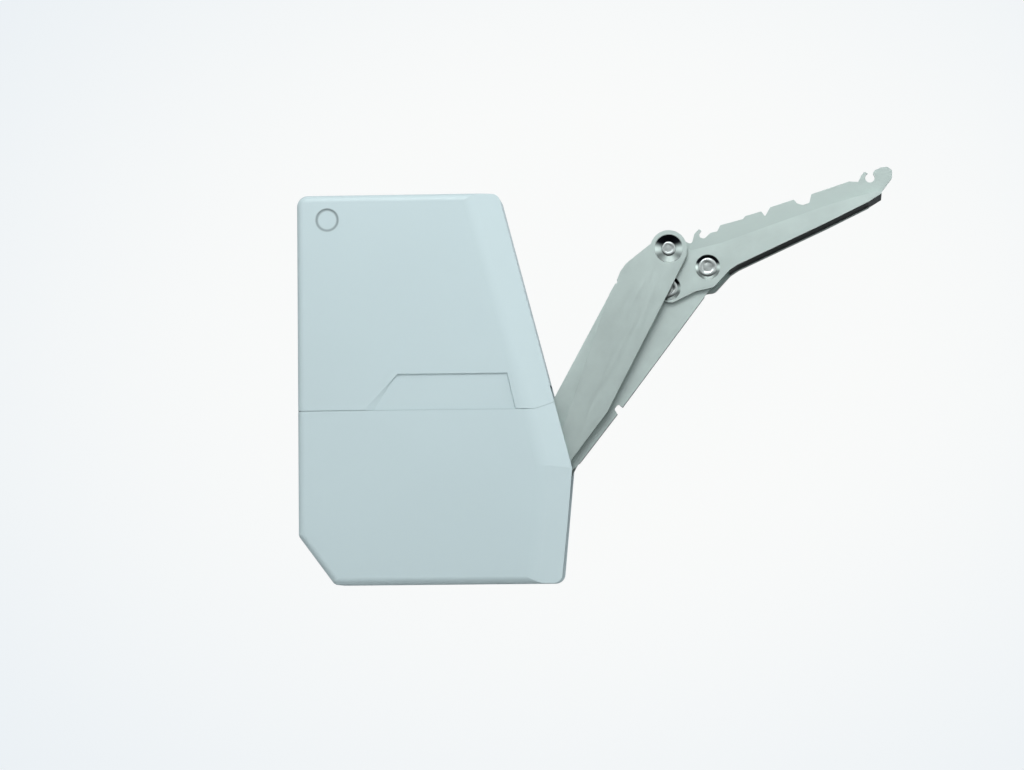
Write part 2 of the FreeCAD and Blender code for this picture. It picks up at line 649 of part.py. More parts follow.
def adjuster_screw():
    shank = pack_rod((SEAT[1] + 1.5, ANCHOR[1] + 0.1), 0, ROD_R)
    collar = pack_rod((ANCHOR[0] - 1.2, ANCHOR[0] - 0.1), 0, 6.0)
    head = pack_rod((ANCHOR[1] + 0.1, ANCHOR[1] + 5.1), 0, 7.0)
    axis = pack_dir()
    socket_base = on_pack(ANCHOR[1] + 2.1, 0)
    across = V(0, 1, 0)
    corners = []
    for i in range(7):
        corners.append(socket_base + FreeCAD.Rotation(axis, 60 * i).multVec(across) * 3.0)
    socket = Part.Face(Part.makePolygon(corners)).extrude(axis * 4)
    return shank.fuse([collar, head]).removeSplitter().cut(socket)


def main():
    shell = cover_shell()
    parts = {
        "base_plate": base_plate(),
        "cheek_plate": cheek_plate(),
        "cheek_posts": cheek_posts(),
        "cover_posts": cover_posts(),
        "lever_pivot_front": lever_pivot_front(),
        "lever_pivot_rear": lever_pivot_rear(),
        "control_pivot_stud": control_stud(),
        "stop_buffer": stop_buffer(),
        "anchor_block": anchor_block(),
        "spring_guide_rods": guide_rods(),
        "compression_springs": springs(),
        "upper_cover": upper_cover(shell),
        "lower_cover": lower_cover(shell),
        "lever_near_plate": near_plate(),
        "lever_far_plate": far_plate(),
        "lever_bridge": lever_bridge(),
        "cam_plate": cam_plate(),
        "cam_rivets": cam_rivets(),
        "top_rivet": top_rivet(),
        "pivot_washers": pivot_washers(),
        "front_arm_channel": front_arm(),
        "spacer_rivet": spacer_rivet(),
        "lower_rivet": lower_rivet(),
        "control_lever_channel": control_lever(),
        "spring_carriage": spring_carriage(),
        "roller_pin": roller_pin(),
        "cam_roller": cam_roller(),
        "spring_seat": spring_seat(),
        "adjuster_screw": adjuster_screw(),
    }
    for name, shape in parts.items():
        print(name, shape.isValid(), len(shape.Solids), round(shape.Volume, 1))
        shape.exportStep("parts/%s.step" % name)


main()
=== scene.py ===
"""Looks of a lift up flap stay: painted cover, satin nickel levers, turned rivets and a
plain studio."""

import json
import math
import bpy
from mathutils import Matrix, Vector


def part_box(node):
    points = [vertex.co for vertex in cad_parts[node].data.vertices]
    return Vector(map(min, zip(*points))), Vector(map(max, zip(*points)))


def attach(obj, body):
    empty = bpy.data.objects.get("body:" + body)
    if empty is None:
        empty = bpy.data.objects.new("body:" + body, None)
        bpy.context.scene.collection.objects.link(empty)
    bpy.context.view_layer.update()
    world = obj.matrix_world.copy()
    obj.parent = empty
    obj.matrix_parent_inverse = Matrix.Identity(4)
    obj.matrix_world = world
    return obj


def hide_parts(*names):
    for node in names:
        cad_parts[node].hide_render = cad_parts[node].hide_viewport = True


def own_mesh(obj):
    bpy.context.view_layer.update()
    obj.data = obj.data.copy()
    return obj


bl_info = {
    "name": "Flap stay dressing",
    "version": (1, 0, 0),
    "blender": (4, 5, 0),
    "location": "View3D > Sidebar > Flap stay",
    "description": "Finishes, turned rivets, wound springs and a studio for a flap stay",
    "category": "Object",
}

import bmesh
import bpy
import numpy as np
from mathutils import Matrix, Vector

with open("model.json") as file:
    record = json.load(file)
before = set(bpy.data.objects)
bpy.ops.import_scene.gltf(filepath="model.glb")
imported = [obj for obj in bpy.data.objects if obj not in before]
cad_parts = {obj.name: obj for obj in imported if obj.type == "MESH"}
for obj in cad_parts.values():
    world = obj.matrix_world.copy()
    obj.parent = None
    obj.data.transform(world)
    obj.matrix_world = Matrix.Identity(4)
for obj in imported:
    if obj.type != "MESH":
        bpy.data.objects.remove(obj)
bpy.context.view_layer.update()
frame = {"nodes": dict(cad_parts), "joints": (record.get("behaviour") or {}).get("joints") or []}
JOINTS = {joint["name"]: joint for joint in frame["joints"]}
MM = 0.001
DIMPLE_CENTRE = (-60.8 * MM, 97.6 * MM)  # x and z of the round dimple in the upper cover
DIMPLE_RING = 6.0 * MM                   # radius of the painted shade line inside it
CARRIAGE_SHARE = 2 / 3                   # share of a spring's turns in its lower part, by the carriage


def node_box(name):
    """Lowest and highest corner of a node at rest."""
    low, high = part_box(name)
    return np.array(low), np.array(high)


# Sizes and colours a user would change
class CoverFinishProps(bpy.types.PropertyGroup):
    paint: bpy.props.FloatVectorProperty(
        name="Paint", description="Colour of the moulded cover", subtype="COLOR",
        size=3, min=0.0, max=1.0, default=(0.44, 0.54, 0.56))
    grain: bpy.props.FloatProperty(
        name="Grain", description="Size of the fine texture of the moulding", default=0.0006,
        unit="LENGTH", precision=5)
    roughness: bpy.props.FloatProperty(
        name="Roughness", description="Gloss of the cover, 0 is a mirror", default=0.5,
        min=0.0, max=1.0, subtype="FACTOR")
    tongue: bpy.props.FloatProperty(
        name="Tongue", description="Thickness of the tongue in the joint of the two halves",
        default=0.34 * MM, unit="LENGTH", precision=5)


class LeverFinishProps(bpy.types.PropertyGroup):
    nickel: bpy.props.FloatVectorProperty(
        name="Nickel", description="Colour of the satin nickel plating", subtype="COLOR",
        size=3, min=0.0, max=1.0, default=(0.63, 0.74, 0.71))
    bright: bpy.props.FloatVectorProperty(
        name="Bright nickel", description="Colour of the turned rivets", subtype="COLOR",
        size=3, min=0.0, max=1.0, default=(0.50, 0.55, 0.54))
    edge: bpy.props.FloatProperty(
        name="Edge rounding", description="Radius of the rolled edges of the sheet parts",
        default=0.4 * MM, unit="LENGTH", precision=5)
    # painted shade: how bright faces that face down or sideways stay against the front faces
    underside_shade: bpy.props.FloatProperty(
        name="Cut edges", description="Brightness of the cut edges against the faces",
        default=0.12, min=0.0, max=1.0, subtype="FACTOR")


class RivetProps(bpy.types.PropertyGroup):
    segments: bpy.props.IntProperty(
        name="Segments", description="Steps round a turned rivet", default=96, min=24)
    swage: bpy.props.FloatProperty(
        name="Swage depth", description="Depth of the pressed marks in the rivet heads",
        default=0.18 * MM, unit="LENGTH", precision=5)


class SpringProps(bpy.types.PropertyGroup):
    wire: bpy.props.FloatProperty(
        name="Wire", description="Diameter of the spring wire", default=2.6 * MM,
        unit="LENGTH", precision=4)
    turns: bpy.props.FloatProperty(
        name="Turns", description="Free turns of each spring", default=8.0, min=3.0)


class StageProps(bpy.types.PropertyGroup):
    white: bpy.props.FloatVectorProperty(
        name="White", description="Colour of the floor and backdrop", subtype="COLOR",
        size=3, min=0.0, max=1.0, default=(0.96, 0.97, 0.965))
    # edge white: painted fall-off of light towards the backdrop's edges
    edge_white: bpy.props.FloatVectorProperty(
        name="Edge white", description="Colour of the backdrop far from the middle",
        subtype="COLOR", size=3, min=0.0, max=1.0, default=(0.80, 0.86, 0.91))
    azimuth: bpy.props.FloatProperty(
        name="Camera azimuth", description="Turn of the camera to the right of square on",
        default=math.radians(3.5), subtype="ANGLE")
    elevation: bpy.props.FloatProperty(
        name="Camera elevation", description="Height of the camera above square on",
        default=math.radians(-3.6), subtype="ANGLE")
    roll: bpy.props.FloatProperty(
        name="Camera roll", description="Turn of the camera about its own view",
        default=math.radians(0.5), subtype="ANGLE")
    distance: bpy.props.FloatProperty(
        name="Camera distance", description="Camera to the middle of the view",
        default=2.305, unit="LENGTH")
    lens: bpy.props.FloatProperty(
        name="Lens", description="Focal length in millimetres on a 36 mm sensor", default=140.6)
    aim: bpy.props.FloatVectorProperty(
        name="Aim", description="Point in the middle of the view", subtype="XYZ", size=3,
        unit="LENGTH", default=(0.0438, -0.020, 0.0024))


# Surfaces
def grid_mesh(name, points, close_u, close_v, caps=False):
    """Mesh of a grid of points, shape (u, v, 3); faces join neighbours and wrap where asked.
    Caps close the first and last ring of v with a fan to its middle."""
    nu, nv = points.shape[:2]
    index = np.arange(nu * nv).reshape(nu, nv)
    right = np.roll(index, -1, axis=1)
    up = np.roll(index, -1, axis=0)
    corner = np.roll(up, -1, axis=1)
    keep_u = slice(None) if close_u else slice(0, nu - 1)
    keep_v = slice(None) if close_v else slice(0, nv - 1)
    quads = np.stack([index[keep_u, keep_v], right[keep_u, keep_v], corner[keep_u, keep_v],
                      up[keep_u, keep_v]], axis=-1).reshape(-1, 4)
    faces = quads.tolist()
    verts = points.reshape(-1, 3)
    if caps:
        verts = np.vstack([verts, points[0].mean(axis=0), points[-1].mean(axis=0)])
        first, last = nu * nv, nu * nv + 1
        ring = np.arange(nv)
        after = np.roll(ring, -1)
        faces += np.stack([after, ring, np.full(nv, first)], axis=-1).tolist()
        base = (nu - 1) * nv
        faces += np.stack([base + ring, base + after, np.full(nv, last)], axis=-1).tolist()
    mesh = bpy.data.meshes.new(name)
    mesh.from_pydata(verts.tolist(), [], faces)
    mesh.validate()
    mesh.shade_smooth()
    return mesh


def outward(mesh):
    """Turns every face outwards."""
    work = bmesh.new()
    work.from_mesh(mesh)
    bmesh.ops.remove_doubles(work, verts=work.verts, dist=1e-7)
    bmesh.ops.recalc_face_normals(work, faces=work.faces)
    work.to_mesh(mesh)
    work.free()


def place_piece(name, mesh, body, material):
    """Puts a piece in the scene with its finish and on its body."""
    piece = bpy.data.objects.new(name, mesh)
    bpy.context.scene.collection.objects.link(piece)
    mesh.materials.append(material)
    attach(piece, body)
    return piece


def rounded_profile(corners, steps=6):
    """Profile through (radius, depth, rounding) corners, each corner replaced by an arc-like
    quadratic blend of its two neighbours' directions."""
    points = []
    for i, (r, d, blend) in enumerate(corners):
        here = np.array([r, d])
        if blend == 0 or i in (0, len(corners) - 1):
            points.append(here[None, :])
            continue
        before = np.array(corners[i - 1][:2]) - here
        after = np.array(corners[i + 1][:2]) - here
        start = here + before / np.linalg.norm(before) * blend
        stop = here + after / np.linalg.norm(after) * blend
        t = np.linspace(0, 1, steps)[:, None]
        points.append((1 - t) ** 2 * start + 2 * t * (1 - t) * here + t ** 2 * stop)
    return np.vstack(points)


def turned_mesh(name, profile, centre, segments, ripple=None):
    """Surface of revolution about the Y direction through centre: the point at (u, v) is
    centre plus radius u times (cos v, 0, sin v) plus depth u along Y. A ripple function of
    radius, angle and depth may add to the depth."""
    angle = np.linspace(0, 2 * np.pi, segments, endpoint=False)
    r, d = profile[:, 0][:, None], profile[:, 1][:, None]
    depth = d + (ripple(r, angle[None, :], d) if ripple else 0.0)
    points = np.stack([centre[0] + r * np.cos(angle), centre[1] + depth + 0 * angle,
                       centre[2] + r * np.sin(angle)], axis=-1)
    mesh = grid_mesh(name, points, False, True)
    outward(mesh)
    return mesh


def coil_height(t, length, wire, total):
    """Height of the wire's middle at turn t: nearly flat over the first and last three quarters
    of a turn and an even climb between them."""
    dead = 0.75
    tight = 0.55 * wire
    climb = np.clip((t - dead) / (total - 2 * dead), 0, 1) * (length - wire - 2 * tight)
    ends = np.clip(t / dead, 0, 1) + np.clip((t - total + dead) / dead, 0, 1)
    return wire / 2 + tight * ends + climb


def wound_mesh(name, start, axis, length, radius, wire, total, share, sides=14, steps=40):
    """The given share of a coil: the middle of the wire turns round the axis at the radius while
    it climbs by coil_height, and the section is a circle in the plane across the wire."""
    t = np.linspace(share[0] * total, share[1] * total,
                    int((share[1] - share[0]) * total * steps))
    height = coil_height(t, length, wire, total)
    angle = 2 * np.pi * t
    axis = np.array(axis) / np.linalg.norm(axis)
    across = np.cross(axis, [0.0, 1.0, 0.0])
    across /= np.linalg.norm(across)
    other = np.cross(axis, across)
    radial = np.cos(angle)[:, None] * across + np.sin(angle)[:, None] * other
    middle = np.array(start) + radial * radius + height[:, None] * axis
    phi = np.linspace(0, 2 * np.pi, sides, endpoint=False)
    ring = (np.cos(phi)[None, :, None] * radial[:, None, :] +
            np.sin(phi)[None, :, None] * axis[None, None, :])
    points = middle[:, None, :] + wire / 2 * ring
    mesh = grid_mesh(name, points, False, True, caps=True)
    outward(mesh)
    return mesh


# Materials
def new_finish(name):
    """Empty finish: its material, node tree, surface shader and coordinates."""
    material = bpy.data.materials.new(name)
    material.use_nodes = True
    tree = material.node_tree
    tree.nodes.clear()
    out = tree.nodes.new("ShaderNodeOutputMaterial")
    shader = tree.nodes.new("ShaderNodeBsdfPrincipled")
    tree.links.new(shader.outputs[0], out.inputs[0])
    coord = tree.nodes.new("ShaderNodeTexCoord")
    return material, tree, shader, coord


def noise(tree, coord, scale, stretch=(1, 1, 1), turn=0.0, detail=3.0, rough=0.5):
    """Noise on Object coordinates, stretched and turned about Y first."""
    mapping = tree.nodes.new("ShaderNodeMapping")
    mapping.vector_type = "TEXTURE"
    mapping.inputs["Rotation"].default_value = (0, -turn, 0)
    mapping.inputs["Scale"].default_value = stretch
    tree.links.new(coord.outputs["Object"], mapping.inputs["Vector"])
    texture = tree.nodes.new("ShaderNodeTexNoise")
    texture.inputs["Scale"].default_value = scale
    texture.inputs["Detail"].default_value = detail
    texture.inputs["Roughness"].default_value = rough
    tree.links.new(mapping.outputs[0], texture.inputs["Vector"])
    return texture.outputs["Fac"]


def spread(tree, value, low, high):
    """Maps the middle of a noise, 0.3 to 0.7, to low to high."""
    node = tree.nodes.new("ShaderNodeMapRange")
    node.inputs["From Min"].default_value = 0.3
    node.inputs["From Max"].default_value = 0.7
    node.inputs["To Min"].default_value = low
    node.inputs["To Max"].default_value = high
    tree.links.new(value, node.inputs["Value"])
    return node.outputs[0]


def tint(tree, value, dark, light):
    """Colour that goes from dark to light over the middle of a noise, 0.3 to 0.7."""
    stops = tree.nodes.new("ShaderNodeValToRGB")
    for stop, place, colour in zip(stops.color_ramp.elements, (0.3, 0.7), (dark, light)):
        stop.position = place
        stop.color = (*colour, 1)
    tree.links.new(value, stops.inputs[0])
    return stops.outputs[0]


def shade(colour, factor):
    """Colour made darker or lighter by a factor."""
    return tuple(min(1.0, c * factor) for c in colour)


def bump(tree, shader, height, strength, distance):
    """Fine relief on the surface that follows a height."""
    node = tree.nodes.new("ShaderNodeBump")
    node.inputs["Strength"].default_value = strength
    node.inputs["Distance"].default_value = distance
    tree.links.new(height, node.inputs["Height"])
    tree.links.new(node.outputs[0], shader.inputs["Normal"])


def ramp(tree, value, low, high):
    """Soft step from 0 at the low value to 1 at the high value."""
    step = tree.nodes.new("ShaderNodeMapRange")
    step.interpolation_type = "SMOOTHSTEP"
    step.inputs["From Min"].default_value = low
    step.inputs["From Max"].default_value = high
    tree.links.new(value, step.inputs["Value"])
    return step.outputs[0]


def blend(tree, factor, low, high):
    """Colour that goes from low at factor 0 to high at factor 1; each is a colour or a socket."""
    mix = tree.nodes.new("ShaderNodeMix")
    mix.data_type = "RGBA"
    tree.links.new(factor, mix.inputs["Factor"])
    for key, side in (("A", low), ("B", high)):
        if isinstance(side, tuple):
            mix.inputs[key].default_value = (*side, 1)
        else:
            tree.links.new(side, mix.inputs[key])
    return mix.outputs["Result"]


def axis_part(tree, coord, output, axis):
    """One axis of the Object or Normal coordinates."""
    part = tree.nodes.new("ShaderNodeSeparateXYZ")
    tree.links.new(coord.outputs[output], part.inputs[0])
    return part.outputs[axis]


def ring_off(tree, coord, centre, radius):
    """How far a point is from a ring of the radius around the centre, seen along Y."""
    mapping = tree.nodes.new("ShaderNodeMapping")
    mapping.inputs["Location"].default_value = (-centre[0], 0, -centre[1])
    mapping.inputs["Scale"].default_value = (1, 0, 1)
    tree.links.new(coord.outputs["Object"], mapping.inputs["Vector"])
    reach = tree.nodes.new("ShaderNodeVectorMath")
    reach.operation = "LENGTH"
    tree.links.new(mapping.outputs[0], reach.inputs[0])
    less = tree.nodes.new("ShaderNodeMath")
    less.operation = "SUBTRACT"
    less.inputs[1].default_value = radius
    tree.links.new(reach.outputs["Value"], less.inputs[0])
    size = tree.nodes.new("ShaderNodeMath")
    size.operation = "ABSOLUTE"
    tree.links.new(less.outputs[0], size.inputs[0])
    return size.outputs[0]


def moulded_paint(name, colour, roughness, grain):
    """Satin moulding: faint cloudy colour, fine even grain in the surface, and a line of painted
    shade where the round dimple's wall meets its floor."""
    material, tree, shader, coord = new_finish(name)
    cloud = noise(tree, coord, 9.0, detail=2.0)
    clean = tint(tree, cloud, shade(colour, 0.985), shade(colour, 1.015))
    # painted shade: a darker ring where the round dimple's wall meets its floor
    off = ring_off(tree, coord, DIMPLE_CENTRE, DIMPLE_RING)
    dimple_shade = ramp(tree, off, 0.2 * MM, 1.2 * MM)
    tree.links.new(blend(tree, dimple_shade, shade(colour, 0.58), clean), shader.inputs["Base Color"])
    fine = noise(tree, coord, 1.0 / grain, detail=2.0, rough=0.6)
    tree.links.new(spread(tree, fine, roughness - 0.05, roughness + 0.05),
                   shader.inputs["Roughness"])
    shader.inputs["Specular IOR Level"].default_value = 0.45
    bump(tree, shader, fine, 0.12, 0.00004)
    return material


def plated_sheet(name, colour, roughness, turn, grain=0.03, edge=1.0, split=None):
    """Satin plated sheet: grain runs along the part, with faint stains and a rolled surface.
    Faces that face down or sideways, cut edges and webs alike, take painted shade by the edge
    factor, and what lies behind the split takes painted shade too."""
    material, tree, shader, coord = new_finish(name)
    stain = noise(tree, coord, 55.0, detail=4.0, rough=0.6)
    face = tint(tree, stain, shade(colour, 0.94), shade(colour, 1.05))
    # painted shade on what lies behind the split
    if split is not None:
        far_shade = ramp(tree, axis_part(tree, coord, "Object", "Y"), split, split + 0.3 * MM)
        face = blend(tree, far_shade, face, shade(colour, 0.9))
    # painted shade: faces that face down or sideways take the darker edge colour
    flat = tree.nodes.new("ShaderNodeMath")
    flat.operation = "ABSOLUTE"
    tree.links.new(axis_part(tree, coord, "Normal", "Y"), flat.inputs[0])
    lit = tree.nodes.new("ShaderNodeMath")
    lit.operation = "MAXIMUM"
    tree.links.new(flat.outputs[0], lit.inputs[0])
    tree.links.new(axis_part(tree, coord, "Normal", "Z"), lit.inputs[1])
    unshaded = ramp(tree, lit.outputs[0], 0.2, 0.8)
    tree.links.new(blend(tree, unshaded, shade(colour, edge), face), shader.inputs["Base Color"])
    streak = noise(tree, coord, 900.0, stretch=(16.0, 1.0, 1.0), turn=turn, detail=4.0)
    tree.links.new(spread(tree, streak, roughness - grain, roughness + grain),
                   shader.inputs["Roughness"])
    shader.inputs["Metallic"].default_value = 1.0
    bump(tree, shader, streak, 0.10, 0.00003)
    return material


def turned_metal(name, colour, roughness):
    """Turned or drawn bright metal with faint rings and small scratches."""
    material, tree, shader, coord = new_finish(name)
    fleck = noise(tree, coord, 700.0, detail=3.0)
    tree.links.new(tint(tree, fleck, shade(colour, 0.94), shade(colour, 1.04)),
                   shader.inputs["Base Color"])
    tree.links.new(spread(tree, fleck, roughness - 0.04, roughness + 0.06),
                   shader.inputs["Roughness"])
    shader.inputs["Metallic"].default_value = 1.0
    bump(tree, shader, fleck, 0.12, 0.00003)
    return material


def shaded_seat(name, colour, roughness):
    """Wall of a rivet's seat in painted shade: black where it faces down, bare metal at the sides
    and darker where it faces up."""
    material, tree, shader, coord = new_finish(name)
    up = axis_part(tree, coord, "Normal", "Z")
    down_shaded = blend(tree, ramp(tree, up, -0.2, 0.0), (0.012, 0.014, 0.018), colour)
    seat_shade = blend(tree, ramp(tree, up, 0.0, 0.2), down_shaded, shade(colour, 0.22))
    tree.links.new(seat_shade, shader.inputs["Base Color"])
    speck = noise(tree, coord, 900.0, detail=3.0)
    tree.links.new(spread(tree, speck, roughness - 0.04, roughness + 0.04),
                   shader.inputs["Roughness"])
    shader.inputs["Metallic"].default_value = 1.0
    return material


def soft_rubber(name, colour):
    """Matt black rubber with a fine speckle."""
    material, tree, shader, coord = new_finish(name)
    speck = noise(tree, coord, 1200.0, detail=3.0)
    tree.links.new(tint(tree, speck, shade(colour, 0.8), shade(colour, 1.3)),
                   shader.inputs["Base Color"])
    tree.links.new(spread(tree, speck, 0.6, 0.8), shader.inputs["Roughness"])
    bump(tree, shader, speck, 0.2, 0.00005)
    return material


def direct_rays(tree, share):
    """Share for camera, glossy and transmission rays, and nothing for the light that falls."""
    path = tree.nodes.new("ShaderNodeLightPath")
    value = path.outputs["Is Camera Ray"]
    for ray in ("Is Glossy Ray", "Is Transmission Ray"):
        node = tree.nodes.new("ShaderNodeMath")
        node.operation = "MAXIMUM"
        tree.links.new(value, node.inputs[0])
        tree.links.new(path.outputs[ray], node.inputs[1])
        value = node.outputs[0]
    part = tree.nodes.new("ShaderNodeMath")
    part.operation = "MULTIPLY"
    part.inputs[1].default_value = share
    tree.links.new(value, part.inputs[0])
    return part.outputs[0]


def dress_node(name, material, edge=0.0):
    """Gives a node its finish and, where asked, rounds its sharp edges."""
    node = frame["nodes"][name]
    if node.material_slots:
        node.material_slots[0].material = material
    else:
        node.data.materials.append(material)
    if edge:
        weld = node.modifiers.new("weld", "WELD")
        weld.merge_threshold = 0.01 * MM
        rim = node.modifiers.new("rim", "BEVEL")
        rim.width = edge
        rim.segments = 3
        rim.limit_method = "ANGLE"
        rim.angle_limit = math.radians(40)


# Operators
class FLAPSTAY_OT_dress_cover(bpy.types.Operator):
    """Paint the two halves of the moulded cover"""
    bl_idname = "flapstay.dress_cover"
    bl_label = "Dress cover"

    def execute(self, context):
        props = context.scene.flapstay_cover
        paint = moulded_paint("cover_paint", tuple(props.paint), props.roughness, props.grain)
        for name in ("upper_cover", "lower_cover"):
            dress_node(name, paint)
        return {"FINISHED"}


class FLAPSTAY_OT_fill_seam(bpy.types.Operator):
    """Lay the tongue that closes the joint between the two cover halves"""
    bl_idname = "flapstay.fill_seam"
    bl_label = "Fill seam"

    def execute(self, context):
        props = context.scene.flapstay_cover
        route = np.array([(-76.5, -37.7, -12.3), (48.0, -37.7, -12.3), (53.9, -37.3, -12.3),
                          (57.4, -36.1, -12.3), (68.0, -30.4, -8.5)]) * MM
        mesh = self.ribbon("seam_tongue", route, props.tongue, 1.2 * MM)
        # the tongue is a little darker than the cover: painted shade in the joint
        paint = moulded_paint("tongue_painted_shade", shade(tuple(props.paint), 0.9), props.roughness,
                              props.grain)
        place_piece("seam_tongue", mesh, "housing", paint)
        return {"FINISHED"}

    def ribbon(self, name, route, height, depth):
        """Rectangle carried along the route: each of its corners is the route shifted by half
        the height in z and by the depth in y."""
        steps = np.linspace(0, len(route) - 1, 60)
        line = np.stack([np.interp(steps, np.arange(len(route)), route[:, k]) for k in range(3)],
                        axis=-1)
        corner = np.array([(0, 0, -height / 2), (0, 0, height / 2), (0, depth, height / 2),
                           (0, depth, -height / 2)])
        mesh = grid_mesh(name, line[:, None, :] + corner[None, :, :], False, True, caps=True)
        outward(mesh)
        return mesh


class FLAPSTAY_OT_dress_levers(bpy.types.Operator):
    """Give levers and front arm their satin nickel plating"""
    bl_idname = "flapstay.dress_levers"
    bl_label = "Dress levers"

    def execute(self, context):
        props = context.scene.flapstay_lever
        colour = tuple(props.nickel)
        # painted shade factor for faces that face down or sideways
        side_shade = props.underside_shade
        lever = plated_sheet("lever_plating", colour, 0.42, math.radians(62), edge=side_shade)
        # far plate and bridge: a darker copy of the nickel, as painted shade
        far = plated_sheet("far_plating_painted_shade", shade(colour, 0.7), 0.42, math.radians(62), edge=side_shade)
        # control lever: a lighter copy of the nickel, as painted light
        back = plated_sheet("control_plating_painted_light", shade(colour, 1.12), 0.42, math.radians(52),
                            edge=side_shade)
        # the arm's far flange, behind this depth, takes painted shade
        far_side = node_box("front_arm_channel")[1][1] - 2.4 * MM
        arm = plated_sheet("arm_plating", colour, 0.44, math.radians(24), edge=side_shade,
                           split=far_side)
        dress_node("lever_near_plate", lever, props.edge)
        dress_node("lever_far_plate", far, props.edge)
        dress_node("lever_bridge", far, props.edge)
        dress_node("control_lever_channel", back, props.edge)
        dress_node("front_arm_channel", arm, props.edge)
        return {"FINISHED"}


class FLAPSTAY_OT_dress_works(bpy.types.Operator):
    """Finish the plates, pins and moving parts inside the housing"""
    bl_idname = "flapstay.dress_works"
    bl_label = "Dress works"

    def execute(self, context):
        zinc = plated_sheet("zinc_sheet", (0.55, 0.57, 0.56), 0.38, 0.0)
        cast = plated_sheet("zinc_casting", (0.48, 0.49, 0.49), 0.5, 0.0, grain=0.1)
        pin = turned_metal("pin_steel", (0.6, 0.6, 0.6), 0.28)
        white = moulded_paint("white_nylon", (0.74, 0.74, 0.70), 0.42, 0.0008)
        rubber = soft_rubber("stop_rubber", (0.03, 0.03, 0.03))
        works = {zinc: ("base_plate", "cheek_plate", "cheek_posts", "cam_plate"),
                 cast: ("anchor_block", "spring_seat", "spring_carriage"),
                 pin: ("lever_pivot_front", "lever_pivot_rear", "control_pivot_stud",
                       "spring_guide_rods", "cam_rivets", "roller_pin", "adjuster_screw"),
                 white: ("cover_posts", "cam_roller", "pivot_washers"),
                 rubber: ("stop_buffer",)}
        for material, names in works.items():
            for name in names:
                dress_node(name, material)
        return {"FINISHED"}


class FLAPSTAY_OT_turn_rivets(bpy.types.Operator):
    """Build the turned rivets of the levers"""
    bl_idname = "flapstay.turn_rivets"
    bl_label = "Turn rivets"

    def execute(self, context):
        props = context.scene.flapstay_rivet
        bright = turned_metal("rivet_nickel", tuple(context.scene.flapstay_lever.bright), 0.42)
        # the seat wall's colour is painted shade, darker where it faces down or up
        wall = shaded_seat("seat_wall", tuple(context.scene.flapstay_lever.nickel), 0.40)
        top = {"head": 4.0 * MM, "rise": 1.0 * MM, "shank": 3.5 * MM, "foot": 7.0 * MM,
               "foot_rise": 1.2 * MM, "body": None, "cup": 8.2 * MM, "sunk": 1.5 * MM,
               "middle": 0.12}
        spacer = {"head": 5.3 * MM, "rise": 0.8 * MM, "shank": 3.0 * MM, "foot": 5.0 * MM,
                  "foot_rise": 0.3 * MM, "body": (1.8 * MM, 11.6 * MM, 5.0 * MM),
                  "cup": 7.2 * MM, "sunk": 1.0 * MM, "middle": 0.35}
        lower = {"head": 5.3 * MM, "rise": 0.8 * MM, "shank": 3.5 * MM, "foot": 6.5 * MM,
                 "foot_rise": 0.3 * MM, "body": None, "cup": 7.2 * MM, "sunk": 1.0 * MM,
                 "middle": 0.35}
        for node, body, size in (("top_rivet", "main_lever", top),
                                 ("spacer_rivet", "front_arm", spacer),
                                 ("lower_rivet", "front_arm", lower)):
            low, high = node_box(node)
            centre = ((low[0] + high[0]) / 2, low[1], (low[2] + high[2]) / 2)
            curve = self.profile(size, high[1] - low[1])
            self.head = size["head"]
            self.depth = props.swage * size["middle"] / 0.35
            mesh = turned_mesh(node + "_turned", curve, centre, props.segments, self.marks)
            piece = place_piece(node + "_turned", mesh, body, bright)
            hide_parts(node)
            floor = low[1] + size["rise"]
            lining = self.cup(size)
            mesh = turned_mesh(node + "_cup", lining, (centre[0], floor, centre[2]),
                               props.segments)
            place_piece(node + "_cup", mesh, body, wall)
        return {"FINISHED"}

    def cup(self, size):
        """Lining of the seat that carries the seat wall's painted shade: from the head's edge the
        depth falls a little faster than evenly out to the rim, then the wall turns back along the
        seat."""
        t = np.linspace(0, 1, 14)
        inner, rim, sunk = size["head"] - 0.1 * MM, size["cup"], size["sunk"]
        r = inner + (rim - inner) * t
        front = -0.12 * MM - (sunk - 0.12 * MM) * t ** 1.15
        back = front + 0.08 * MM
        return np.vstack([np.stack([r, front], axis=-1), np.stack([r, back], axis=-1)[::-1],
                          [[inner, front[0]]]])

    def profile(self, size, length):
        """Head with a raised swaged ring round a lower middle, shank, spacer body and foot."""
        head, rise, shank = size["head"], size["rise"], size["shank"]
        low = size["middle"] * rise
        corners = [(0, low, 0), (0.25 * head, low, 0), (0.5 * head, low, 0.3 * MM),
                   (0.66 * head, 0, 0.25 * MM), (0.86 * head, 0, 0.25 * MM),
                   (head, 0.4 * rise, 0.2 * MM), (head, rise, 0), (shank, rise, 0)]
        if size["body"]:
            start, stop, body = size["body"]
            corners += [(shank, start, 0), (body, start, 0), (body, stop, 0), (shank, stop, 0)]
        foot_start = length - size["foot_rise"]
        blend = 0.3 * size["foot_rise"]
        corners += [(shank, foot_start, 0), (size["foot"], foot_start, 0),
                    (size["foot"], length, blend), (0, length, 0)]
        return rounded_profile(corners, 8)

    def marks(self, r, angle, depth):
        """Three pressed hollows in the ring: a cosine of three times the angle, kept to a band
        of radius by a bell curve."""
        band = np.exp(-((r - 0.6 * self.head) / (0.2 * self.head)) ** 2) * (depth < 0.3 * MM)
        return self.depth * band * (0.5 + 0.5 * np.cos(3 * angle + 0.4)) ** 2


